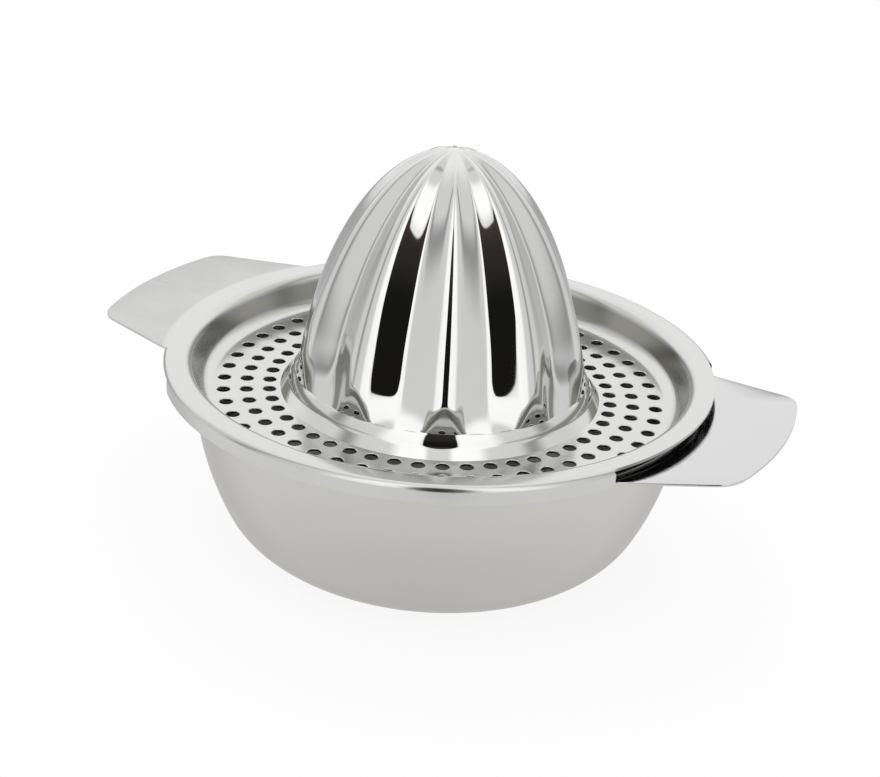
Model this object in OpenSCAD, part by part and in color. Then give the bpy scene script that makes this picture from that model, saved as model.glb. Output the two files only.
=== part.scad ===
// Two-piece hand citrus juicer in pressed stainless steel.
// A perforated strainer pan with a fluted reamer drops into the mouth of a juice bowl.
// Origin: on the table, under the middle of the bowl. +Z up, bowl tab along +X, strainer tab along -X.

/* [Sheet] */
// Thickness of the steel sheet
sheet = 0.6; // [0.5:0.05:0.8]

/* [Bowl] */
// Height of the bowl's flange above the table
bowl_h = 41.5; // [34:0.5:50]
// Radius of the flat base
bowl_base_r = 34.5; // [26:0.5:38]
// Radius of the bend between base and side, outside
bowl_corner_r = 17; // [10:0.5:20]
// Radius of the long curve of the side, outside
bowl_side_r = 70; // [60:1:120]
// Height of the flare that turns the neck out into the flange
flare_h = 4.6; // [3.6:0.1:5.4]
// Outer radius of the flange
flange_r = 62.4; // [56:0.1:70]
// Width of the flange with its flare, out from the neck below it
flange_w = 5.9; // [5.5:0.1:9]

/* [Tabs] */
// Length of each tab handle beyond the strainer's rim
tab_len = 17.5; // [14:0.5:26]
// Width of each tab where it leaves the rim
tab_root_w = 62; // [54:1:72]
// Width of each tab at its tip
tab_tip_w = 48; // [34:1:52]
// Radius of the tab's corners
tab_corner_r = 7; // [4:0.5:9]
// Upward slope of the bowl's tab, in degrees
bowl_tab_rise = 8; // [2:0.5:8]
// Upward slope of the strainer's tab, in degrees
strainer_tab_rise = 2; // [0:0.5:8]

/* [Strainer pan] */
// Depth of the pan, from the top of its rim to the perforated floor
well_d = 8; // [7:0.25:9]
// Lean of the pan's wall, in degrees from upright
well_lean = 20; // [12:1:28]
// Radius of the bend between floor and wall, inside
well_bend_r = 3.5; // [2.5:0.25:4]
// Radius of the bend between wall and rim, underneath
lip_bend_r = 1.6; // [0.8:0.1:2]
// Radius of the rim's outer bend, underneath
rim_bend_r = 0.6; // [0.5:0.1:1.2]
// Height of the skirt that hangs from the rim
skirt_h = 4; // [3.4:0.1:4.6]
// Radius of the lower corners where the skirt is cut away
skirt_corner_r = 1.6; // [0.8:0.1:1.8]
// Gap between the rim's underside and the bowl's flange
slot_h = 2.4; // [2:0.1:3]

/* [Holes] */
// Diameter of the drain holes
hole_d = 3; // [2:0.1:3.4]
// Number of holes in each ring
hole_rows = 48; // [36:1:54]
// Least width of steel between two rings of holes
hole_web = 1.6; // [1.2:0.1:2.1]
// Distance from the reamer's foot to the first ring
hole_margin_in = 3.2; // [2.6:0.1:4]
// Distance from the last ring to the edge of the flat floor
hole_margin_out = 2.3; // [2:0.1:3]
// Angle of the first hole, in degrees from +X
hole_turn = 4.3; // [0:0.1:7.4]

/* [Reamer] */
// Height of the reamer above the strainer's floor
reamer_h = 57.5; // [48:0.5:66]
// Radius that the ridges run down to
ridge_r = 34.25; // [32.5:0.25:35.5]
// Number of flutes
flutes = 10; // [8:1:12]
// Depth of a flute, as a share of the ridge's radius there
flute_depth = 0.1; // [0.06:0.01:0.14]
// Height at which a flute's floor starts to sweep out to the shoulder
sweep_h = 16; // [12:1:24]
// Angle of the first ridge, in degrees from +X
flute_turn = 6.5; // [0:0.5:36]
// Radius of the smooth cap at the tip
cap_r = 4.5; // [3:0.25:6]
// Radius of the shoulder's foot on the strainer
foot_r = 36.3; // [35:0.1:38]
// Height of the rounded shoulder
shoulder_h = 4.8; // [4:0.1:6.5]
// Width of the shoulder's rounding
shoulder_round = 2.5; // [1.4:0.1:2.8]
// Distance that the ridges' feet stand in from the shoulder's rounding
ledge = 0.4; // [0.3:0.1:1]
// Width of the strainer's floor that the shoulder stands on
foot_seat = 3.3; // [2:0.1:5]

/* [Fits] */
// Clearance between the pan's wall and the flare that it seats on
seat_gap = 0.3; // [0.2:0.05:0.5]
// Clearance between the bowl's flange and the skirt around it
skirt_gap = 0.5; // [0.4:0.05:0.8]
// Clearance on each side of the bowl's tab in its gap in the skirt
tab_side_gap = 1; // [0.6:0.1:2]
// Length of rim without skirt on each side of the strainer's tab
own_tab_relief = 16; // [4:0.5:20]

/* [Hidden] */
$fn = 180;

satin_steel = [0.74, 0.73, 0.70];
polished_steel = [0.83, 0.83, 0.83];
bright_steel = [0.88, 0.88, 0.88];

// Points along a bend, and small amounts that let cutters run past a face
bend_steps = 10;
past = 1;
// Length over which two touching sheets are joined
lap = 1.5;
// Height of the rim's bend that stays beside the strainer's tab, and its width over the bowl's tab
bend_stub = 0.2;
bend_lip = 0.3;
// Height of a skirt corner's centre, as a share of its radius
corner_drop = 0.9;

rim_r = flange_r + skirt_gap + sheet;
rim_under = bowl_h + slot_h;
rim_top = rim_under + sheet;
floor_top = rim_top - well_d;
floor_under = floor_top - sheet;
tab_tip_r = rim_r + tab_len;
tab_root_angle = asin(tab_root_w / 2 / rim_r);
// Half angles of the gaps in the skirt, for the bowl's tab and beside the strainer's own tab
bowl_tab_gap = tab_root_angle + atan(tab_side_gap / rim_r);
own_tab_gap = tab_root_angle + atan(own_tab_relief / rim_r);

function polar(c, r, a) = c + r * [cos(a), sin(a)];
function bend(c, r, from, to, steps = bend_steps) =
    [for (i = [0 : steps]) polar(c, r, from + (to - from) * i / steps)];
function backwards(list) = [for (i = [len(list) - 1 : -1 : 0]) list[i]];

// Bowl section: a base bend and a long side curve that are tangent, then a flare into the flange.
corner_c = [bowl_base_r, bowl_corner_r];
neck = [flange_r - flange_w, bowl_h - sheet - flare_h];
corner_to_neck = neck - corner_c;
neck_dist = norm(corner_to_neck);
neck_angle = atan2(corner_to_neck[1], corner_to_neck[0]);
centre_dist = bowl_side_r - bowl_corner_r;
centre_cos = (neck_dist ^ 2 + centre_dist ^ 2 - bowl_side_r ^ 2) / (2 * neck_dist * centre_dist);
side_c = polar(corner_c, centre_dist, neck_angle + acos(centre_cos));
side_low = atan2(corner_c[1] - side_c[1], corner_c[0] - side_c[0]);
side_high = atan2(neck[1] - side_c[1], neck[0] - side_c[0]);
flare_r = flare_h / (1 + sin(side_high));
flare_c = polar(neck, flare_r, side_high);

function bowl_skin(inset) = concat(
    [[0, inset]],
    bend(corner_c, bowl_corner_r - inset, -90, side_low),
    bend(side_c, bowl_side_r - inset, side_low, side_high, 2 * bend_steps),
    bend(flare_c, flare_r + inset, 180 + side_high, 90),
    [[flange_r, bowl_h - sheet + inset]]);

// Strainer section: floor, leaning wall that rests against the flare, lip, rim and skirt.
wall_off = flare_r + sheet + seat_gap;
function on_wall(off, z) = flare_c[0] + (off + (z - flare_c[1]) * sin(well_lean)) / cos(well_lean);
well_c = [on_wall(-wall_off - sheet - well_bend_r, floor_top + well_bend_r), floor_top + well_bend_r];
lip_c = [on_wall(-wall_off + lip_bend_r, rim_under - lip_bend_r), rim_under - lip_bend_r];
rim_c = [rim_r - sheet - rim_bend_r, rim_under - rim_bend_r];
floor_r = well_c[0];
floor_hole_r = foot_r - foot_seat;
skirt_low = rim_top - skirt_h;

// under = 0 gives the upper skin and under = sheet the lower one.
function strainer_skin(under) = concat(
    [[floor_hole_r, floor_top - under]],
    bend(well_c, well_bend_r + under, -90, -well_lean),
    bend(lip_c, lip_bend_r + sheet - under, 180 - well_lean, 90),
    bend(rim_c, rim_bend_r + sheet - under, 90, 0),
    [[rim_r - under, skirt_low]]);

// Tab outline: straight sides that narrow outwards, round corners and a tip that follows the rim.
side_from = [rim_r * cos(tab_root_angle), tab_root_w / 2];
side_to = [sqrt(tab_tip_r ^ 2 - (tab_tip_w / 2) ^ 2), tab_tip_w / 2];
side_dir = (side_to - side_from) / norm(side_to - side_from);
side_out = [-side_dir[1], side_dir[0]];
side_in = side_from - tab_corner_r * side_out;
along = side_in * side_dir;
tab_corner_run = sqrt(along ^ 2 - side_in * side_in + (tab_tip_r - tab_corner_r) ^ 2) - along;
tab_corner_c = side_in + tab_corner_run * side_dir;
tab_tip_angle = atan2(tab_corner_c[1], tab_corner_c[0]);
half_tab = concat(
    [[rim_r / 2, tab_root_w / 2], side_from],
    bend(tab_corner_c, tab_corner_r, atan2(side_out[1], side_out[0]), tab_tip_angle));

module tab_outline() {
    polygon(concat(
        half_tab,
        bend([0, 0], tab_tip_r, tab_tip_angle, -tab_tip_angle),
        backwards([for (p = half_tab) [p[0], -p[1]]])));
}

// A tab along +X: a band of sheet, level as far as the crease and rising beyond it.
module tab(crease_r, top, rise) {
    end_r = tab_tip_r + past;
    lift = (end_r - crease_r) * tan(rise);
    low = top - sheet;
    intersection() {
        translate([0, 0, low - past])
            linear_extrude(lift + sheet + 2 * past) tab_outline();
        rotate([0, 0, -90])
            rotate_extrude(angle = 180)
                polygon([
                    [crease_r - lap, low], [crease_r, low], [end_r, low + lift],
                    [end_r, top + lift], [crease_r, top], [crease_r - lap, top]]);
    }
}

// A ring-shaped cutter on +X, half_angle to each side, from r_in outwards.
module sector(half_angle, r_in, low, high) {
    translate([0, 0, low])
        rotate([0, 0, -half_angle])
            rotate_extrude(angle = 2 * half_angle)
                translate([r_in, 0]) square([rim_r + past - r_in, high - low]);
}

// Takes the skirt away on +X, outside r_in and below top, between ends whose lower corners are round.
module skirt_cut(half_angle, r_in, top) {
    half_w = rim_r * sin(half_angle);
    corner = [half_w + skirt_corner_r, skirt_low + skirt_corner_r * corner_drop];
    end = concat(
        [[corner[0], skirt_low - past]],
        bend(corner, skirt_corner_r, -90, -180),
        [[half_w, top]]);
    intersection() {
        rotate([90, 0, 90])
            linear_extrude(rim_r + past)
                polygon(concat(end, backwards([for (p = end) [-p[0], p[1]]])));
        sector(90, r_in, skirt_low - 2 * past, top + past);
    }
}

module bowl() {
    color(satin_steel) {
        rotate_extrude() polygon(concat(bowl_skin(0), backwards(bowl_skin(sheet))));
        tab(flange_r, bowl_h, bowl_tab_rise);
    }
}

module drain_holes() {
    first_r = foot_r + hole_margin_in;
    span = floor_r - hole_margin_out - first_r;
    gaps = floor(span / (hole_d + hole_web));
    for (ring = [0 : gaps], row = [0 : hole_rows - 1])
        rotate([0, 0, hole_turn + row * 360 / hole_rows])
            translate([first_r + span * (gaps == 0 ? 1 / 2 : ring / gaps), 0, floor_under - past])
                cylinder(d = hole_d, h = sheet + 2 * past, $fn = 24);
}

module strainer() {
    color(polished_steel) {
        difference() {
            rotate_extrude() polygon(concat(strainer_skin(0), backwards(strainer_skin(sheet))));
            drain_holes();
            skirt_cut(bowl_tab_gap, rim_c[0] + bend_lip, rim_top + past);
            rotate([0, 0, 180]) {
                sector(tab_root_angle, rim_c[0], skirt_low - past, rim_top + past);
                skirt_cut(own_tab_gap, rim_c[0] - past, rim_under - bend_stub);
            }
        }
        rotate([0, 0, 180]) tab(rim_c[0], rim_top, strainer_tab_rise);
    }
}

// Reamer: an egg-shaped crown with flutes between round ridges, that sweep out onto a round shoulder.
// crown_bulge and crown_round shape the crown; floor_round and ridge_round, in degrees, the flutes.
// sweep_reach is how far the sweep goes, as a share of the way from a flute's floor to the shoulder.
// sweep_fade sets how fast it dies out from a flute's floor to the ridge.
crown_bulge = 1.65;
crown_round = 0.52;
floor_round = 1.5;
ridge_round = 7.5;
sweep_reach = 1.9;
sweep_fade = 1.5;
flute_pitch = 360 / flutes;
columns_per_flute = 10;
columns = flutes * columns_per_flute;
shoulder_rows = 6;
foot_rows = 7;
crown_rows = 13;
// The ridges' upright feet: their radius, and the height where they end, in shoulder heights
foot_rise = 2.2;
ridge_foot_r = foot_r - shoulder_round - ledge;
ridge_foot_h = foot_rise * shoulder_h;
// Angle of the last row of points below the tip, where 90 is the tip itself
last_row = 88;

function crown(z, inset) =
    (ridge_r - inset) * pow(max(0, 1 - pow(z / (reamer_h - inset), crown_bulge)), crown_round);
// 0 on a flute's floor and 1 on the ridge between two flutes
function climb(a) = sqrt(a ^ 2 + floor_round ^ 2) - floor_round
    - max(0, a - flute_pitch / 2 + ridge_round) ^ 2 / (2 * ridge_round);
function flank(a) = climb(a) / climb(flute_pitch / 2);
function sweep(z, inset) = let (full = foot_r - shoulder_round - inset - ridge_r * (1 - flute_depth))
    full * sweep_reach * pow(max(0, 1 - z / sweep_h), 2);
function fluted(a, z, inset) =
    let (r = crown(z, inset), up = flank(a), cut = flute_depth * min(1, max(0, r / cap_r - 1)))
    min(ridge_foot_r - inset, r * (1 - cut * (1 - up)) + sweep(z, inset) * pow(max(0, 1 - up), sweep_fade));
function shoulder(z, inset) = z >= shoulder_h - inset ? 0 :
    foot_r - shoulder_round + (shoulder_round - inset) * sqrt(1 - (z / (shoulder_h - inset)) ^ 2);
function reamer_at(a, z, inset) = max(fluted(a, z, inset), shoulder(z, inset));

// Heights of the rows of points: round the shoulder, up the feet of the ridges, then up the crown.
function row_heights(inset) = concat(
    [for (i = [0 : shoulder_rows]) (shoulder_h - inset) * sin(90 * i / shoulder_rows)],
    [for (i = [1 : foot_rows]) shoulder_h - inset + (ridge_foot_h - shoulder_h) * i / foot_rows],
    [for (i = [1 : crown_rows])
        ridge_foot_h - inset + (reamer_h - ridge_foot_h) * sin(last_row * i / crown_rows)]);

function skin_points(inset) = concat(
    [for (z = row_heights(inset), i = [0 : columns - 1])
        let (turn = 360 * i / columns, off = turn - flute_pitch * round(turn / flute_pitch - 0.5))
        let (r = reamer_at(abs(off - flute_pitch / 2), z, inset), a = turn + flute_turn)
        [r * cos(a), r * sin(a), floor_top + z]],
    [[0, 0, floor_top + reamer_h - inset]]);

module reamer() {
    rows = shoulder_rows + foot_rows + crown_rows + 1;
    inner = rows * columns + 1;
    function at(start, row, i) = start + row * columns + i % columns;
    function skin_faces(start, flip) = [
        for (row = [0 : rows - 1], i = [0 : columns - 1])
            let (p = at(start, row, i), q = at(start, row, i + 1))
            let (u = row == rows - 1 ? start + rows * columns : at(start, row + 1, i))
            let (v = at(start, min(row + 1, rows - 1), i + 1))
            each concat(
                flip ? [[p, q, u]] : [[p, u, q]],
                row == rows - 1 ? [] : flip ? [[q, v, u]] : [[q, u, v]])];
    seat = [for (i = [0 : columns - 1])
        let (p = at(0, 0, i), q = at(0, 0, i + 1), u = at(inner, 0, i), v = at(inner, 0, i + 1))
        each [[p, q, u], [q, v, u]]];
    color(bright_steel)
        polyhedron(
            concat(skin_points(0), skin_points(sheet)),
            concat(skin_faces(0, false), skin_faces(inner, true), seat),
            convexity = 6);
}

bowl();
strainer();
reamer();
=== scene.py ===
"""Hand citrus juicer: satin juice bowl, polished strainer pan and mirror-bright fluted reamer."""

import math

import bpy
from mathutils import Matrix, Vector


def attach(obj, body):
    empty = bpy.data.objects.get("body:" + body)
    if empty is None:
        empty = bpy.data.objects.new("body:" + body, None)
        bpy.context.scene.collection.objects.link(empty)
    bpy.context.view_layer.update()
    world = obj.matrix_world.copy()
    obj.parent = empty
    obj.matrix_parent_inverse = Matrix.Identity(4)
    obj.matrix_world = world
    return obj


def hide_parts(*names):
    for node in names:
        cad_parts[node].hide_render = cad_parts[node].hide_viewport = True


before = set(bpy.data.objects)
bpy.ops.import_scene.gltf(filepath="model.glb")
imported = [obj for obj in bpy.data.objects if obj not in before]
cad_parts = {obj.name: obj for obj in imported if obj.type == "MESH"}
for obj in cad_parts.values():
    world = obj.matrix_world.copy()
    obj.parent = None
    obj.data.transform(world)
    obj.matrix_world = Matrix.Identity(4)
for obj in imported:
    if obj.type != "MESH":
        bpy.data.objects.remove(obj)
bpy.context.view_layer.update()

# Sizes of the pressings, in millimetres, as in the part's source, except that the flutes turn further
MM = 0.001
SHEET = 0.6
BOWL_H, BASE_R, CORNER_R, SIDE_R = 41.5, 34.5, 17, 70
FLANGE_R, FLANGE_W, FLARE_H = 62.4, 5.9, 4.6
RIM_R, RIM_TOP, RIM_UNDER = 63.5, 44.5, 43.9
FLOOR_TOP, FLOOR_HOLE_R = 36.5, 33
WELL_LEAN, WELL_BEND_R, LIP_BEND_R, RIM_BEND_R = 20, 3.5, 1.6, 0.6
SEAT_GAP, SKIRT_LOW, SKIRT_CORNER_R = 0.3, 40.5, 1.6
TAB_TIP_R, TAB_ROOT_W, TAB_TIP_W, TAB_CORNER_R = 81, 62, 48, 7
BOWL_TAB_RISE, STRAINER_TAB_RISE = 8, 2
TAB_SIDE_GAP, OWN_TAB_RELIEF, BEND_STUB, BEND_LIP = 1, 16, 0.2, 0.3
HOLE_R, HOLE_ROWS, HOLE_RINGS, HOLE_TURN = 1.5, 48, (39.5, 44.75, 50), 4.3
REAMER_H, RIDGE_R, FLUTES, FLUTE_TURN, CAP_R = 57.5, 34.25, 10, 8.8, 1.4
TURN_STEPS = 288
WELD = 2e-7


def polar(centre, radius, degrees):
    angle = math.radians(degrees)
    return (centre[0] + radius * math.cos(angle), centre[1] + radius * math.sin(angle))


def bend(centre, radius, start, end, steps):
    return [polar(centre, radius, start + (end - start) * i / steps) for i in range(steps + 1)]


# Modelling steps that every pressing shares


def start_fresh():
    if bpy.context.object and bpy.context.object.mode != "OBJECT":
        bpy.ops.object.mode_set(mode="OBJECT")
    bpy.ops.object.select_all(action="DESELECT")


def draw_outline(name, points):
    """A closed line of edges, drawn by extruding one vertex from point to point."""
    start_fresh()
    bpy.ops.mesh.primitive_plane_add(size=MM)
    piece = bpy.context.object
    piece.name = name
    bpy.ops.object.mode_set(mode="EDIT")
    bpy.ops.mesh.select_all(action="SELECT")
    bpy.ops.mesh.merge(type="CENTER")
    here = Vector()
    for i, point in enumerate(points):
        step = Vector(point) * MM - here
        if i == 0:
            bpy.ops.transform.translate(value=step)
        else:
            bpy.ops.mesh.extrude_region_move(TRANSFORM_OT_translate={"value": step})
        here += step
    return piece


def draw_section(name, points):
    return draw_outline(name, [(r, 0, z) for r, z in points])


def tidy_skin():
    bpy.ops.mesh.select_all(action="SELECT")
    bpy.ops.mesh.remove_doubles(threshold=WELD)
    bpy.ops.mesh.normals_make_consistent(inside=False)
    bpy.ops.object.mode_set(mode="OBJECT")


def spin_section(steps, degrees=360, start=0):
    """Turns the section that is being edited clockwise round the upright axis."""
    bpy.ops.mesh.select_all(action="SELECT")
    if start:
        turn_mesh(start)
    bpy.ops.mesh.spin(steps=steps, angle=math.radians(degrees), center=(0, 0, 0), axis=(0, 0, 1))


def turn_mesh(degrees):
    mesh = bpy.context.object.data
    bpy.ops.object.mode_set(mode="OBJECT")
    mesh.transform(Matrix.Rotation(math.radians(degrees), 4, "Z"))
    bpy.ops.object.mode_set(mode="EDIT")
    bpy.ops.mesh.select_all(action="SELECT")


def ring_section(name, points, steps, half_angle, around):
    """A closed section turned through half_angle to each side of the direction called around."""
    piece = draw_section(name, points + points[:1])
    spin_section(steps, 2 * half_angle, around + half_angle)
    bpy.ops.mesh.select_all(action="SELECT")
    bpy.ops.mesh.remove_doubles(threshold=WELD)
    bpy.ops.mesh.select_all(action="DESELECT")
    bpy.ops.mesh.select_mode(type="EDGE")
    bpy.ops.mesh.select_non_manifold()
    bpy.ops.mesh.edge_face_add()
    bpy.ops.mesh.select_mode(type="VERT")
    bpy.ops.mesh.select_all(action="DESELECT")
    tidy_skin()
    return piece


def cut(piece, tool, operation="DIFFERENCE"):
    start_fresh()
    piece.select_set(True)
    bpy.context.view_layer.objects.active = piece
    bpy.ops.object.modifier_add(type="BOOLEAN")
    trim = piece.modifiers[-1]
    trim.operation = operation
    trim.solver = "EXACT"
    trim.object = tool
    bpy.ops.object.modifier_apply(modifier=trim.name)
    bpy.data.objects.remove(tool)


def join(piece, *others):
    start_fresh()
    for other in (*others, piece):
        other.select_set(True)
    bpy.context.view_layer.objects.active = piece
    bpy.ops.object.join()


def polish_shading(piece, degrees):
    start_fresh()
    piece.select_set(True)
    bpy.context.view_layer.objects.active = piece
    bpy.ops.object.shade_smooth_by_angle(angle=math.radians(degrees))


# Tab handles

TAB_LAP, TAB_TUCK, TAB_EDGE, TAB_SPARE = 1.5, 0.06, 0.13, 1
TRIM_BELOW, TRIM_ABOVE = 5, 20


def tab_outline():
    """Half of the tab's outline along +X: a side that narrows outwards and a round corner."""
    root = Vector((math.sqrt(RIM_R**2 - (TAB_ROOT_W / 2) ** 2), TAB_ROOT_W / 2))
    tip = Vector((math.sqrt(TAB_TIP_R**2 - (TAB_TIP_W / 2) ** 2), TAB_TIP_W / 2))
    along = (tip - root).normalized()
    out = Vector((-along.y, along.x))
    inner = root - TAB_CORNER_R * out
    back = inner.dot(along)
    run = math.sqrt(back**2 - inner.dot(inner) + (TAB_TIP_R - TAB_CORNER_R) ** 2) - back
    corner = inner + run * along
    tip_angle = math.degrees(math.atan2(corner.y, corner.x))
    half = [(RIM_R / 2, TAB_ROOT_W / 2), tuple(root)]
    half += bend(corner, TAB_CORNER_R, math.degrees(math.atan2(out.y, out.x)), tip_angle, 14)
    tip_edge = bend((0, 0), TAB_TIP_R, tip_angle, -tip_angle, 40)[1:-1]
    return half + tip_edge + [(x, -y) for x, y in reversed(half)]


def prism(name, points, low, high):
    """An outline in the XY plane, filled and pulled up to a block."""
    piece = draw_outline(name, [(x, y, low) for x, y in points + points[:1]])
    bpy.ops.mesh.select_all(action="SELECT")
    bpy.ops.mesh.remove_doubles(threshold=WELD)
    bpy.ops.mesh.edge_face_add()
    bpy.ops.mesh.extrude_region_move(TRANSFORM_OT_translate={"value": (0, 0, (high - low) * MM)})
    tidy_skin()
    return piece


def tab_handle(name, crease_r, top, rise, around):
    """A tongue of sheet that rises gently from the crease, with its root tucked into the rim."""
    root_r, tuck_r, end_r = crease_r - TAB_LAP, crease_r - TAB_TUCK, TAB_TIP_R + TAB_SPARE
    lift = (end_r - crease_r) * math.tan(math.radians(rise))
    low = top - SHEET
    section = [(root_r, low + TAB_TUCK), (tuck_r, low + TAB_TUCK), (crease_r, low)]
    section += [(end_r, low + lift), (end_r, top + lift), (crease_r, top)]
    section += [(tuck_r, top - TAB_TUCK), (root_r, top - TAB_TUCK)]
    tongue = ring_section(name, section, 60, 40, 0)
    cut(tongue, prism("tab_trim", tab_outline(), low - TRIM_BELOW, top + TRIM_ABOVE), "INTERSECT")
    start_fresh()
    tongue.select_set(True)
    bpy.context.view_layer.objects.active = tongue
    bpy.ops.object.modifier_add(type="BEVEL")
    edge = tongue.modifiers[-1]
    edge.width = TAB_EDGE * MM
    edge.segments = 2
    edge.limit_method = "ANGLE"
    edge.angle_limit = math.radians(50)
    edge.use_clamp_overlap = False
    bpy.ops.object.modifier_apply(modifier=edge.name)
    tongue.data.transform(Matrix.Rotation(math.radians(around), 4, "Z"))
    return tongue


# Juice bowl

CORNER_C = Vector((BASE_R, CORNER_R))
NECK = Vector((FLANGE_R - FLANGE_W, BOWL_H - SHEET - FLARE_H))


def side_curve():
    """Centre of the long side curve, and its first and last angle."""
    gap = NECK - CORNER_C
    far = SIDE_R - CORNER_R
    inside = (gap.length_squared + far**2 - SIDE_R**2) / (2 * gap.length * far)
    turn = math.degrees(math.atan2(gap.y, gap.x) + math.acos(inside))
    centre = Vector(polar(CORNER_C, far, turn))
    low, high = CORNER_C - centre, NECK - centre
    return centre, math.degrees(math.atan2(low.y, low.x)), math.degrees(math.atan2(high.y, high.x))


SIDE_C, SIDE_FROM, SIDE_TO = side_curve()
FLARE_R = FLARE_H / (1 + math.sin(math.radians(SIDE_TO)))
FLARE_C = polar(NECK, FLARE_R, SIDE_TO)


def bowl_skin(inset):
    points = [(0, inset), (BASE_R / 2, inset)]
    points += bend(CORNER_C, CORNER_R - inset, -90, SIDE_FROM, 18)
    points += bend(SIDE_C, SIDE_R - inset, SIDE_FROM, SIDE_TO, 18)[1:]
    points += bend(FLARE_C, FLARE_R + inset, 180 + SIDE_TO, 90, 12)[1:]
    return points + [(FLANGE_R - 0.1, BOWL_H - SHEET + inset)]


def juice_bowl():
    skin = bowl_skin(0) + [(FLANGE_R, BOWL_H - SHEET / 2)] + bowl_skin(SHEET)[::-1]
    bowl = draw_section("juice_bowl", skin)
    spin_section(TURN_STEPS)
    tidy_skin()
    join(bowl, tab_handle("bowl_tab", FLANGE_R - 0.1, BOWL_H, BOWL_TAB_RISE, 0))
    polish_shading(bowl, 35)
    return bowl


# Strainer pan

WALL_OFF = FLARE_R + SHEET + SEAT_GAP


def on_wall(off, z):
    lean = math.radians(WELL_LEAN)
    return FLARE_C[0] + (off + (z - FLARE_C[1]) * math.sin(lean)) / math.cos(lean)


WELL_Z, LIP_Z, RIM_Z = FLOOR_TOP + WELL_BEND_R, RIM_UNDER - LIP_BEND_R, RIM_UNDER - RIM_BEND_R
WELL_C = (on_wall(-WALL_OFF - SHEET - WELL_BEND_R, WELL_Z), WELL_Z)
LIP_C = (on_wall(-WALL_OFF + LIP_BEND_R, LIP_Z), LIP_Z)
RIM_C = (RIM_R - SHEET - RIM_BEND_R, RIM_Z)
TAB_ROOT_ANGLE = math.degrees(math.asin(TAB_ROOT_W / 2 / RIM_R))


def strainer_skin(under):
    points = [(FLOOR_HOLE_R, FLOOR_TOP - under)]
    points += bend(WELL_C, WELL_BEND_R + under, -90, -WELL_LEAN, 14)
    points += bend(LIP_C, LIP_BEND_R + SHEET - under, 180 - WELL_LEAN, 90, 10)
    points += bend(RIM_C, RIM_BEND_R + SHEET - under, 90, 0, 10)
    return points + [(RIM_R - under, SKIRT_LOW + 0.1)]


PUNCH_SIDES, PUNCH_LENGTH, PUNCH_DROP = 28, 2.5, 1.37
PUNCH_FLARE = ((1.11, 0.14), (1, 1.5))


def drain_punch():
    """One row of punches, copied round: each is a cylinder that flares at the floor's upper face."""
    rows = []
    for r in HOLE_RINGS:
        start_fresh()
        bpy.ops.mesh.primitive_cylinder_add(
            vertices=PUNCH_SIDES,
            radius=HOLE_R * MM,
            depth=PUNCH_LENGTH * MM,
            location=(r * MM, 0, (FLOOR_TOP - PUNCH_DROP) * MM),
        )
        bpy.ops.object.transform_apply(location=True)
        punch = bpy.context.object
        bpy.ops.object.mode_set(mode="EDIT")
        bpy.ops.mesh.select_mode(type="FACE")
        bpy.ops.mesh.select_all(action="DESELECT")
        bpy.ops.object.mode_set(mode="OBJECT")
        for face in punch.data.polygons:
            face.select = face.normal.z > 0.9
        bpy.ops.object.mode_set(mode="EDIT")
        for grow, rise in PUNCH_FLARE:
            bpy.ops.mesh.extrude_region_move(TRANSFORM_OT_translate={"value": (0, 0, rise * MM)})
            bpy.ops.transform.resize(value=(grow, grow, 1))
        bpy.ops.mesh.select_mode(type="VERT")
        bpy.ops.object.mode_set(mode="OBJECT")
        rows.append(punch)
    join(rows[0], *rows[1:])
    bpy.ops.object.mode_set(mode="EDIT")
    bpy.ops.mesh.select_all(action="SELECT")
    turn_mesh(HOLE_TURN)
    whole = 2 * math.pi * (HOLE_ROWS - 1) / HOLE_ROWS
    bpy.ops.mesh.spin(steps=HOLE_ROWS - 1, dupli=True, angle=whole, center=(0, 0, 0), axis=(0, 0, 1))
    tidy_skin()
    return rows[0]


BLOCK_FROM, BLOCK_DEPTH, BLOCK_SPARE, CORNER_SHARE = 40, 30, 1, 0.9


def upright_band(inner_r, low, high):
    outer_r = RIM_R + BLOCK_SPARE
    return [(inner_r, low), (outer_r, low), (outer_r, high), (inner_r, high)]


def skirt_trim(half_angle, inner_r, top, around):
    """A block that takes the skirt away on one side and leaves round lower corners at the cut."""
    half_w = RIM_R * math.sin(math.radians(half_angle))
    corner = (half_w + SKIRT_CORNER_R, SKIRT_LOW + CORNER_SHARE * SKIRT_CORNER_R)
    side = [(corner[0], SKIRT_LOW - BLOCK_SPARE)] + bend(corner, SKIRT_CORNER_R, -90, -180, 10)
    side += [(half_w, top)]
    outline = side + [(-y, z) for y, z in reversed(side)]
    block = draw_outline("skirt_trim", [(BLOCK_FROM, y, z) for y, z in outline + outline[:1]])
    bpy.ops.mesh.select_all(action="SELECT")
    bpy.ops.mesh.remove_doubles(threshold=WELD)
    bpy.ops.mesh.edge_face_add()
    bpy.ops.mesh.extrude_region_move(TRANSFORM_OT_translate={"value": (BLOCK_DEPTH * MM, 0, 0)})
    tidy_skin()
    band = upright_band(inner_r, SKIRT_LOW - 2 * BLOCK_SPARE, top + BLOCK_SPARE)
    cut(block, ring_section("skirt_band", band, 100, 60, 0), "INTERSECT")
    block.data.transform(Matrix.Rotation(math.radians(around), 4, "Z"))
    return block


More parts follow.
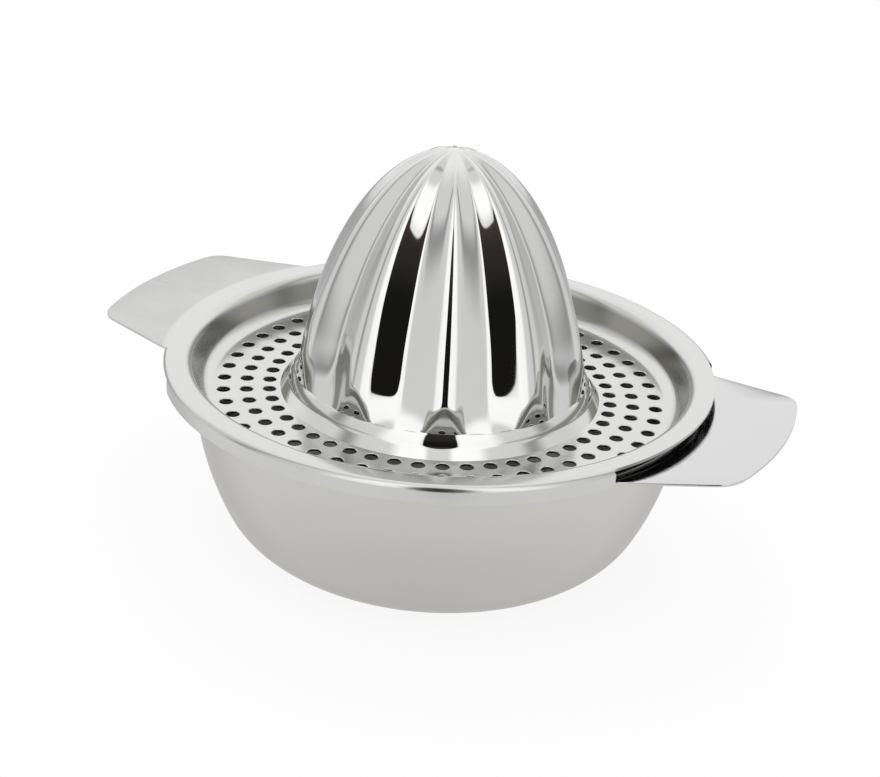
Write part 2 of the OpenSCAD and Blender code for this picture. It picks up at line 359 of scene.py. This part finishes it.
def strainer_pan():
    skin = strainer_skin(0) + [(RIM_R - SHEET / 2, SKIRT_LOW)] + strainer_skin(SHEET)[::-1]
    pan = draw_section("strainer_pan", skin + skin[:1])
    spin_section(TURN_STEPS)
    tidy_skin()
    cut(pan, drain_punch())
    bowl_tab_gap = TAB_ROOT_ANGLE + math.degrees(math.atan(TAB_SIDE_GAP / RIM_R))
    own_tab_gap = TAB_ROOT_ANGLE + math.degrees(math.atan(OWN_TAB_RELIEF / RIM_R))
    cut(pan, skirt_trim(bowl_tab_gap, RIM_C[0] + BEND_LIP, RIM_TOP + BLOCK_SPARE, 0))
    cut(pan, skirt_trim(own_tab_gap, RIM_C[0] - BLOCK_SPARE, RIM_UNDER - BEND_STUB, 180))
    gap = upright_band(RIM_C[0], SKIRT_LOW - BLOCK_SPARE, RIM_TOP + BLOCK_SPARE)
    cut(pan, ring_section("tab_gap", gap, 60, TAB_ROOT_ANGLE, 180))
    join(pan, tab_handle("strainer_tab", RIM_C[0], RIM_TOP, STRAINER_TAB_RISE, 180))
    polish_shading(pan, 30)
    return pan


# Fluted reamer

FLUTE_COLUMNS = 40
FLUTE_ROWS = 108
FLUTE_DEPTH, CROWN_BULGE, CROWN_ROUND = 0.1, 1.65, 0.52
SWEEP_H, SWEEP_OUT, SWEEP_CURVE, RIDGE_SWEEP = 16, 6.95, 2.3, 0.22
FLOOR_ROUND, FLANK_RISE, RIDGE_ROUND = 1.5, 0.0235, 5.5
SPADE_H, SPADE_R, SPADE_LEAN = 10.5, 33.28, 0.08
DIP_FROM, DIP_OVER = 18, 14
SHOULDER_H, LEDGE_LEAN, EDGE_R, EDGE_Z, EDGE_ROUND = 4.7, 3, 33.12, 3.7, 1
SHOULDER_SIDE_TOP, SHOULDER_SIDE_R, SHOULDER_SIDE_C = 4.23, 10.07, (25.43, -1.106)
COLLAR_H, COLLAR_R, COLLAR_LEAN = 2.1, 34.975, 0.95
SPADE_SOFT, SHOULDER_SOFT, CAP_FADE = 0.2, 0.3, 1.5 * CAP_R
SHOULDER_ROWS, FOOT_ROWS, FOOT_H, FOOT_CURVE = 0.24, 0.5, 7, 1.6
EVEN_COLUMNS, TIP_ROW = 0.6, 0.4999
PITCH = 360 / FLUTES


def smooth_step(x):
    x = min(1, max(0, x))
    return x * x * (3 - 2 * x)


def soft_max(a, b, k):
    h = max(0, k - abs(a - b)) / k
    return max(a, b) + h * h * k / 4


def soft_min(a, b, k):
    return -soft_max(-a, -b, k)


def climb(a):
    past = max(0, a - PITCH / 2 + RIDGE_ROUND)
    turn = (1 + FLANK_RISE * PITCH) * past**2 / (2 * RIDGE_ROUND)
    return math.hypot(a, FLOOR_ROUND) - FLOOR_ROUND + FLANK_RISE * a * a - turn


def flank(a):
    """0 on a flute's tight floor, 1 on the round ridge beside it, and almost flat between them."""
    return climb(abs(a)) / climb(PITCH / 2)


def crown(z):
    return RIDGE_R * max(0, 1 - (z / REAMER_H) ** CROWN_BULGE) ** CROWN_ROUND


def shoulder_radius(z):
    """Round edge, leaning side and sloping collar of the shoulder that carries the flutes."""
    if z > SHOULDER_H:
        return EDGE_R - LEDGE_LEAN * (z - SHOULDER_H)
    if z > SHOULDER_SIDE_TOP:
        return EDGE_R + math.sqrt(EDGE_ROUND**2 - (z - EDGE_Z) ** 2)
    if z > COLLAR_H:
        return SHOULDER_SIDE_C[0] + math.sqrt(SHOULDER_SIDE_R**2 - (z - SHOULDER_SIDE_C[1]) ** 2)
    return COLLAR_R + COLLAR_LEAN * (COLLAR_H - z)


def flute_cut(r):
    """Depth of a flute as a share of the crown's radius, which fades out at the cap."""
    return FLUTE_DEPTH * smooth_step((r - CAP_R) / CAP_FADE)


def reamer_radius(a, z):
    """Radius of the reamer at an angle from the nearest flute's floor and a height above the pan's floor."""
    r, below = crown(z), 1 - flank(a)
    sweep = SWEEP_OUT * max(0, 1 - z / SWEEP_H) ** SWEEP_CURVE * (RIDGE_SWEEP + (1 - RIDGE_SWEEP) * below**2)
    fluted = r * (1 - flute_cut(r) * below) + sweep
    spade = SPADE_R + SPADE_LEAN * (SPADE_H - z)
    return soft_max(soft_min(spade, fluted, SPADE_SOFT), shoulder_radius(z), SHOULDER_SOFT)


def flute_dip(a, z):
    """How far a flute is cut downwards as well as inwards, which keeps it sharp up to the cap."""
    if z < DIP_FROM:
        return 0
    r, step = crown(z), 0.1
    lean = (crown(z - step) - crown(z + step)) / (2 * step)
    deep = r * flute_cut(r) * (1 - flank(a))
    return deep * lean / math.hypot(1, lean) * smooth_step((z - DIP_FROM) / DIP_OVER)


def row_height(w):
    """Heights of the rows of points: close together round the shoulder and near the tip."""
    if w < SHOULDER_ROWS:
        return SHOULDER_H * (0.5 - 0.5 * math.cos(math.pi * w / SHOULDER_ROWS))
    if w < FOOT_ROWS:
        return SHOULDER_H + FOOT_H * ((w - SHOULDER_ROWS) / (FOOT_ROWS - SHOULDER_ROWS)) ** FOOT_CURVE
    low, t = SHOULDER_H + FOOT_H, (w - FOOT_ROWS) / (1 - FOOT_ROWS)
    return low + (REAMER_H - low) * math.sin(math.pi / 2 * t)


def fluted_reamer():
    """One flute from ridge to ridge, shaped from a grid, copied round and given the sheet's thickness."""
    start_fresh()
    bpy.ops.mesh.primitive_grid_add(x_subdivisions=FLUTE_COLUMNS, y_subdivisions=FLUTE_ROWS, size=1)
    reamer = bpy.context.object
    reamer.name = "fluted_reamer"
    for vertex in reamer.data.vertices:
        side = 2 * vertex.co.x
        crowded = math.sin(math.pi / 2 * side) ** 3
        off = PITCH / 2 * (EVEN_COLUMNS * side + (1 - EVEN_COLUMNS) * crowded)
        z = row_height(vertex.co.y + 0.5)
        r = reamer_radius(off, z) if vertex.co.y < TIP_ROW else 0
        angle = math.radians(FLUTE_TURN + PITCH / 2 + off)
        z -= flute_dip(off, z)
        vertex.co = Vector((r * math.cos(angle), r * math.sin(angle), FLOOR_TOP + z)) * MM
    bpy.ops.object.mode_set(mode="EDIT")
    bpy.ops.mesh.select_all(action="SELECT")
    whole = 2 * math.pi * (FLUTES - 1) / FLUTES
    bpy.ops.mesh.spin(steps=FLUTES - 1, dupli=True, angle=whole, center=(0, 0, 0), axis=(0, 0, 1))
    tidy_skin()
    bpy.ops.object.modifier_add(type="SOLIDIFY")
    wall = reamer.modifiers[-1]
    wall.thickness = SHEET * MM
    wall.offset = -1
    bpy.ops.object.modifier_apply(modifier=wall.name)
    polish_shading(reamer, 60)
    return reamer


# Steel finishes

TURNED_LINES, LINE_RELIEF, HAZE_LEAST, HAZE_MOST = 1800, 0.00002, 0.3, 0.72
WARM_STEEL, PLAIN_STEEL, PAN_STEEL = (0.585, 0.574, 0.553), (0.562, 0.562, 0.562), (0.58, 0.58, 0.575)
# The first tone on the next line is painted shade, a dark warm grey laid on the wall of the pan's well; the line
# after it gives where that shade lies.
WALL_PAINTED_SHADE, MIRROR_STEEL = (0.29, 0.287, 0.262), (0.64, 0.64, 0.635)
WALL_FOOT, WALL_HEAD, WALL_OUTER = (FLOOR_TOP + 1, FLOOR_TOP + 2.4), (RIM_UNDER - 1.6, RIM_UNDER - 0.5), (59, 60)
FLANGE_FADE, TAB_FADE = (BOWL_H - SHEET - 1, BOWL_H - SHEET), (63.3, 64.3)
UPWARD, OUTWARD = (0, 0, 1), (1, 1, 0)


def finish_nodes(name):
    steel = bpy.data.materials.new(name)
    steel.use_nodes = True
    nodes, links = steel.node_tree.nodes, steel.node_tree.links
    return steel, nodes, links, nodes["Principled BSDF"]


def polish_marks_group():
    """Fine marks of polishing and handling: a haze for the roughness and turned lines round the axis."""
    group = bpy.data.node_groups.new("polish_marks", "ShaderNodeTree")
    face = group.interface
    face.new_socket("Vector", in_out="INPUT", socket_type="NodeSocketVector")
    for label, value in (("Least", 0.04), ("Most", 0.1), ("Size", 120.0)):
        face.new_socket(label, in_out="INPUT", socket_type="NodeSocketFloat").default_value = value
    for label in ("Roughness", "Height"):
        face.new_socket(label, in_out="OUTPUT", socket_type="NodeSocketFloat")
    nodes, links = group.nodes, group.links
    took, gave = nodes.new("NodeGroupInput"), nodes.new("NodeGroupOutput")
    haze, lines = nodes.new("ShaderNodeTexNoise"), nodes.new("ShaderNodeTexNoise")
    mix = nodes.new("ShaderNodeMapRange")
    haze.inputs["Detail"].default_value = 2
    links.new(took.outputs["Vector"], haze.inputs["Vector"])
    links.new(took.outputs["Size"], haze.inputs["Scale"])
    split, across = nodes.new("ShaderNodeSeparateXYZ"), nodes.new("ShaderNodeCombineXYZ")
    links.new(took.outputs["Vector"], split.inputs["Vector"])
    flat, upright = nodes.new("ShaderNodeVectorMath"), nodes.new("ShaderNodeVectorMath")
    flat.operation = "MULTIPLY"
    flat.inputs[1].default_value = OUTWARD
    links.new(took.outputs["Vector"], flat.inputs[0])
    upright.operation = "LENGTH"
    links.new(flat.outputs["Vector"], upright.inputs[0])
    links.new(upright.outputs["Value"], across.inputs["X"])
    links.new(split.outputs["Z"], across.inputs["Y"])
    lines.inputs["Scale"].default_value = TURNED_LINES
    lines.inputs["Detail"].default_value = 1
    links.new(across.outputs["Vector"], lines.inputs["Vector"])
    mix.inputs["From Min"].default_value = HAZE_LEAST
    mix.inputs["From Max"].default_value = HAZE_MOST
    links.new(haze.outputs["Fac"], mix.inputs["Value"])
    links.new(took.outputs["Least"], mix.inputs["To Min"])
    links.new(took.outputs["Most"], mix.inputs["To Max"])
    links.new(mix.outputs["Result"], gave.inputs["Roughness"])
    links.new(lines.outputs["Fac"], gave.inputs["Height"])
    return group


POLISH_MARKS = polish_marks_group()


def polished_steel(name, colour, least, most, size, relief):
    steel, nodes, links, shader = finish_nodes(name)
    place, marks = nodes.new("ShaderNodeTexCoord"), nodes.new("ShaderNodeGroup")
    bump = nodes.new("ShaderNodeBump")
    marks.node_tree = POLISH_MARKS
    marks.inputs["Least"].default_value = least
    marks.inputs["Most"].default_value = most
    marks.inputs["Size"].default_value = size
    shader.inputs["Base Color"].default_value = (*colour, 1)
    shader.inputs["Metallic"].default_value = 1
    bump.inputs["Strength"].default_value = relief
    bump.inputs["Distance"].default_value = LINE_RELIEF
    links.new(place.outputs["Object"], marks.inputs["Vector"])
    links.new(marks.outputs["Roughness"], shader.inputs["Roughness"])
    links.new(marks.outputs["Height"], bump.inputs["Height"])
    links.new(bump.outputs["Normal"], shader.inputs["Normal"])
    return steel


def share_along(steel, axes, reach, low_share, high_share):
    """A value that goes from one share to another along a distance on the given axes."""
    nodes, links = steel.node_tree.nodes, steel.node_tree.links
    pick, far = nodes.new("ShaderNodeVectorMath"), nodes.new("ShaderNodeVectorMath")
    change = nodes.new("ShaderNodeMapRange")
    pick.operation, far.operation = "MULTIPLY", "LENGTH"
    pick.inputs[1].default_value = axes
    links.new(nodes["Texture Coordinate"].outputs["Object"], pick.inputs[0])
    links.new(pick.outputs["Vector"], far.inputs[0])
    links.new(far.outputs["Value"], change.inputs["Value"])
    change.inputs["From Min"].default_value = reach[0] * MM
    change.inputs["From Max"].default_value = reach[1] * MM
    change.inputs["To Min"].default_value = low_share
    change.inputs["To Max"].default_value = high_share
    return change.outputs["Result"]


def times(steel, first, second):
    node = steel.node_tree.nodes.new("ShaderNodeMath")
    node.operation = "MULTIPLY"
    steel.node_tree.links.new(first, node.inputs[0])
    steel.node_tree.links.new(second, node.inputs[1])
    return node.outputs[0]


def two_finishes(steel, share):
    """Changes the roughness by a share of it that differs from place to place."""
    nodes, links = steel.node_tree.nodes, steel.node_tree.links
    rough = times(steel, nodes["Group"].outputs["Roughness"], share)
    links.new(rough, nodes["Principled BSDF"].inputs["Roughness"])


def two_tones(steel, share, second):
    """Changes the steel's own tone to a second one by a share that differs from place to place."""
    nodes, links = steel.node_tree.nodes, steel.node_tree.links
    own = nodes["Principled BSDF"].inputs["Base Color"]
    tone = nodes.new("ShaderNodeMix")
    tone.data_type = "RGBA"
    tone.inputs["A"].default_value = own.default_value
    tone.inputs["B"].default_value = (*second, 1)
    links.new(share, tone.inputs["Factor"])
    links.new(tone.outputs["Result"], own)


def satin_finish():
    """Warm satin on the bowl, and plain smoother steel on its flange and tab."""
    steel = polished_steel("satin_steel", WARM_STEEL, 0.285, 0.345, 60, 0.1)
    two_finishes(steel, share_along(steel, UPWARD, FLANGE_FADE, 1, 0.4))
    two_tones(steel, share_along(steel, UPWARD, FLANGE_FADE, 0, 1), PLAIN_STEEL)
    return steel


def polished_finish():
    """Bright pan with a satin tab, and painted shade in a darker warm grey on the wall of its well."""
    steel = polished_steel("polished_steel", PAN_STEEL, 0.07, 0.1, 90, 0.02)
    two_finishes(steel, share_along(steel, OUTWARD, TAB_FADE, 2, 6))
    # Painted shade: the well wall, between its foot and its head and inside its outer radius, is darkened to the
    # second tone.
    above = share_along(steel, UPWARD, WALL_FOOT, 0, 1)
    below = share_along(steel, UPWARD, WALL_HEAD, 1, 0)
    inside = share_along(steel, OUTWARD, WALL_OUTER, 1, 0)
    two_tones(steel, times(steel, times(steel, above, below), inside), WALL_PAINTED_SHADE)
    return steel


def mirror_finish():
    return polished_steel("mirror_steel", MIRROR_STEEL, 0.02, 0.045, 60, 0.0)


# Studio

FLOOR_SIZE, PAPER_TONE, PAPER_GLOW = 6, 0.15, 0.85


def pale_floor():
    """White paper that glows a little, so that only a faint shadow shows on it."""
    start_fresh()
    bpy.ops.mesh.primitive_plane_add(size=FLOOR_SIZE, location=(0, 0, 0))
    floor = bpy.context.object
    floor.name = "pale_floor"
    paper, _, _, shader = finish_nodes("pale_paper")
    shader.inputs["Base Color"].default_value = (PAPER_TONE, PAPER_TONE, PAPER_TONE, 1)
    shader.inputs["Roughness"].default_value = 0.9
    shader.inputs["Specular IOR Level"].default_value = 0.1
    shader.inputs["Emission Color"].default_value = (1, 1, 1, 1)
    shader.inputs["Emission Strength"].default_value = PAPER_GLOW
    floor.data.materials.append(paper)
    floor.visible_glossy = False


VIEW_AZIMUTH, VIEW_ELEVATION, VIEW_ROLL = 24.5, 25.1, 3.7
VIEW_DISTANCE, VIEW_LENS, VIEW_SENSOR, VIEW_AIM = 386.7, 68.0, 36, 36.1


def photo_camera():
    a, e = math.radians(VIEW_AZIMUTH), math.radians(VIEW_ELEVATION)
    back = Vector((math.sin(a) * math.cos(e), -math.cos(a) * math.cos(e), math.sin(e)))
    aim = Vector((0, 0, VIEW_AIM * MM))
    camera = bpy.data.objects.new("photo_camera", bpy.data.cameras.new("photo_camera"))
    bpy.context.scene.collection.objects.link(camera)
    camera.data.lens = VIEW_LENS
    camera.data.sensor_width = VIEW_SENSOR
    camera.data.clip_start = 0.01
    camera.location = aim + back * VIEW_DISTANCE * MM
    look = back.to_track_quat("Z", "Y").to_matrix().to_4x4()
    camera.rotation_euler = (look @ Matrix.Rotation(math.radians(VIEW_ROLL), 4, "Z")).to_euler()
    bpy.context.scene.camera = camera


# Brightness of the tent by degrees round from the camera, and by degrees up on its front and its back
TENT_AROUND = (
    (0, 1.0), (9, 1.0), (16, 1.55), (36, 1.5), (50, 0.98),
    (70, 0.95), (82, 0.45), (93, 0.95), (180, 0.9),
)
TENT_FRONT = (
    (-90, 0.76), (-60, 0.84), (-30, 1.0), (0, 0.95),
    (50, 1.0), (72, 1.0), (90, 1.15),
)
TENT_BACK = (
    (-90, 0.76), (-55, 0.72), (-30, 0.72), (-4, 0.55), (4, 0.5),
    (13, 1.05), (20, 1.23), (45, 1.23), (90, 1.15),
)
TENT_TURN, TENT_TOP, TENT_FOOT, TENT_REAR = 2.8, (60, 82), (-2, -12), (105, 140)
# The opening's size and place in degrees, and its tones by degrees up
OPENING_HALF, OPENING_MIDDLE, OPENING_REACH, OPENING_CURVE, OPENING_EDGE = 13, 17, 40, 2.8, 0.93
OPENING_TONES = (
    (-30, (0.035, 0.026, 0.020)),
    (-14, (0.012, 0.011, 0.010)),
    (18, (0.012, 0.012, 0.011)),
    (32, (0.035, 0.033, 0.031)),
    (50, (0.085, 0.060, 0.050)),
)


def studio_light():
    """A white tent with a dark opening, seen only in reflections, where the camera looks in."""
    world = bpy.data.worlds.new("white_tent")
    bpy.context.scene.world = world
    world.use_nodes = True
    nodes, links = world.node_tree.nodes, world.node_tree.links
    tent = nodes["Background"]

    def feed(node, *values):
        for socket, value in zip(node.inputs, values):
            if hasattr(value, "is_linked"):
                links.new(value, socket)
            else:
                socket.default_value = value

    def maths(operation, *values):
        node = nodes.new("ShaderNodeMath")
        node.operation = operation
        feed(node, *values)
        return node.outputs[0]

    def along(direction, axis):
        node = nodes.new("ShaderNodeVectorMath")
        node.operation = "DOT_PRODUCT"
        feed(node, direction, axis)
        return node.outputs["Value"]

    def ramp(value, low, high, stops):
        node = nodes.new("ShaderNodeValToRGB")
        node.color_ramp.interpolation = "EASE"
        edges = node.color_ramp.elements
        while len(edges) < len(stops):
            edges.new(0.5)
        for edge, (place, tone) in zip(edges, stops):
            edge.position = (place - low) / (high - low)
            edge.color = (*tone, 1) if isinstance(tone, tuple) else (tone, tone, tone, 1)
        links.new(maths("DIVIDE", maths("SUBTRACT", value, low), high - low), node.inputs["Fac"])
        return node.outputs["Color"]

    def blend(kind, factor, first, second):
        node = nodes.new("ShaderNodeMix")
        node.data_type = "RGBA"
        node.blend_type = kind
        for label, value in (("Factor", factor), ("A", first), ("B", second)):
            if hasattr(value, "is_linked"):
                links.new(value, node.inputs[label])
            else:
                node.inputs[label].default_value = value
        return node.outputs["Result"]

    def fade(value, span):
        node = nodes.new("ShaderNodeMapRange")
        node.interpolation_type = "SMOOTHSTEP"
        feed(node, value, *span, 0, 1)
        return node.outputs["Result"]

    a = math.radians(VIEW_AZIMUTH + TENT_TURN)
    direction = nodes.new("ShaderNodeTexCoord").outputs["Generated"]
    to_camera = along(direction, (math.sin(a), -math.cos(a), 0))
    to_side = along(direction, (math.cos(a), math.sin(a), 0))
    upward = along(direction, (0, 0, 1))
    around = maths("DEGREES", maths("ABSOLUTE", maths("ARCTAN2", to_side, to_camera)))
    raised = maths("DEGREES", maths("ARCSINE", upward))

    level = maths("MAXIMUM", fade(raised, TENT_TOP), fade(raised, TENT_FOOT))
    sides = blend("MIX", level, ramp(around, 0, 180, TENT_AROUND), (1, 1, 1, 1))
    front = blend("MULTIPLY", 1, sides, ramp(raised, -90, 90, TENT_FRONT))
    white = blend("MIX", fade(around, TENT_REAR), front, ramp(raised, -90, 90, TENT_BACK))
    across = maths("DIVIDE", around, OPENING_HALF)
    from_middle = maths("DIVIDE", maths("SUBTRACT", raised, OPENING_MIDDLE), OPENING_REACH)
    upright = maths("POWER", maths("ABSOLUTE", from_middle), OPENING_CURVE)
    reach = maths("SQRT", maths("ADD", maths("MULTIPLY", across, across), upright))
    room = ramp(raised, -90, 90, OPENING_TONES)
    reflected = blend("MIX", fade(reach, (OPENING_EDGE, 1)), room, white)
    seen = nodes.new("ShaderNodeLightPath").outputs["Is Camera Ray"]
    links.new(blend("MIX", seen, reflected, (1, 1, 1, 1)), tent.inputs["Color"])
    tent.inputs["Strength"].default_value = 1.0
    bpy.context.scene.view_settings.view_transform = "Standard"


bowl = juice_bowl()
strainer = strainer_pan()
reamer = fluted_reamer()
finishes = {
    "satin_steel": satin_finish(),
    "polished_steel": polished_finish(),
    "mirror_steel": mirror_finish(),
}
for piece, node, body, slot in (
    (bowl, "bowl", "bowl", "satin_steel"),
    (strainer, "strainer", "strainer", "polished_steel"),
    (reamer, "reamer", "strainer", "mirror_steel"),
):
    piece.data.materials.clear()
    piece.data.materials.append(finishes[slot])
    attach(piece, body)
    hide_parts(node)

pale_floor()
photo_camera()
studio_light()
